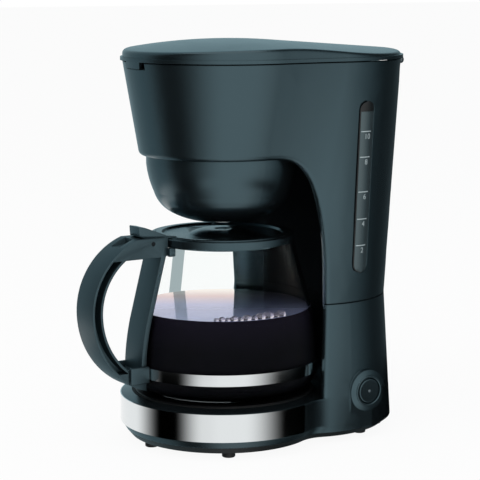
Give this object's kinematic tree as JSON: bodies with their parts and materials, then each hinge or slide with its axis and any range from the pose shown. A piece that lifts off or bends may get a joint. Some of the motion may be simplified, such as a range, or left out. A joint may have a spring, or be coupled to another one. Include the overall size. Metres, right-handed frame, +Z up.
{
  "type": "drip coffee maker",
  "caption": "Drip coffee maker with a hinged lid, round glass carafe with looped handle, hot plate, steel trim, side water gauge and lit power button.",
  "frame": {"origin": "centre of the whole machine's box in plan, on the worktop under the feet", "axes": "+Z up; -Y is the front, towards the carafe's handle; +X is the side with the water gauge and the button"},
  "size_m": [0.1594, 0.2716, 0.3058],
  "materials": {
    "slate_plastic": "semi-gloss moulded",
    "black_plastic": "fine satin",
    "grey_plastic": "natural, unpainted inner moulding",
    "window_plastic": "smoked, frosted",
    "lens_plastic": "clear lens",
    "polished_steel": "mirror-polished strip",
    "coated_plate": "non-stick coating",
    "plain_steel": "plated",
    "heater_alloy": "as extruded",
    "steel_mesh": "fine woven",
    "heat_glass": "clear blown",
    "black_rubber": "matt",
    "silicone": "translucent white",
    "wire_sleeve": "woven sleeve"
  },
  "bodies": {
    "machine": {"base_plate": "black_plastic", "base_screws": "plain_steel", "base_trim_band": "polished_steel", "brew_bowl": "black_plastic", "button_spring": "plain_steel", "check_valve": "grey_plastic", "cord_gland": "black_rubber", "filter_basket": "black_plastic", "gauge_window": "window_plastic", "heater_body": "heater_alloy", "heater_rod": "plain_steel", "hot_plate": "coated_plate", "inlet_hose": "silicone", "inner_deck": "black_plastic", "lead_wires": "wire_sleeve", "lid_hinge_pins": "plain_steel", "lower_housing": "slate_plastic", "mesh_filter": "steel_mesh", "plate_gasket": "silicone", "riser_hose": "silicone", "rubber_feet": "black_rubber", "spray_head": "black_plastic", "switch_bezel": "slate_plastic", "switch_body": "black_plastic", "thermal_fuse": "black_plastic", "thermostat": "plain_steel", "upper_housing": "slate_plastic", "valve_spring": "plain_steel", "water_tank": "grey_plastic", "water_tube": "heater_alloy"},
    "top_lid": {"top_lid": "slate_plastic"},
    "power_button": {"power_button": "slate_plastic", "pilot_lens": "lens_plastic"},
    "drip_valve": {"drip_valve": "black_plastic", "valve_seal": "silicone"},
    "carafe": {"carafe_glass": "heat_glass", "carafe_collar": "slate_plastic", "carafe_handle": "slate_plastic", "carafe_strap": "polished_steel", "strap_screw": "plain_steel", "carafe_lid_pin": "plain_steel"},
    "carafe_lid": {"carafe_lid": "slate_plastic"}
  },
  "joints": [
    {"name": "top_lid_hinge", "type": "hinge", "parent": "machine", "child": "top_lid", "pos_m": [0, 0.13275, 0.2872], "axis": [-1, 0, 0], "range_deg": [0, 95]},
    {"name": "carafe_slide", "type": "slide", "parent": "machine", "child": "carafe", "axis": [0, -1, 0], "range_m": [0, 0.25]},
    {"name": "carafe_lid_hinge", "type": "hinge", "parent": "carafe", "child": "carafe_lid", "pos_m": [0, -0.08435, 0.157], "axis": [1, 0, 0], "range_deg": [0, 2]},
    {"name": "drip_valve_slide", "type": "slide", "parent": "machine", "child": "drip_valve", "axis": [0, 0, 1], "range_m": [0, 0.003], "stiffness_N_per_m": 250, "deforming": ["valve_spring"]},
    {"name": "power_button_slide", "type": "slide", "parent": "machine", "child": "power_button", "axis": [-1, 0, 0], "range_m": [0, 0.002], "stiffness_N_per_m": 1200, "deforming": ["button_spring"]}
  ]
}
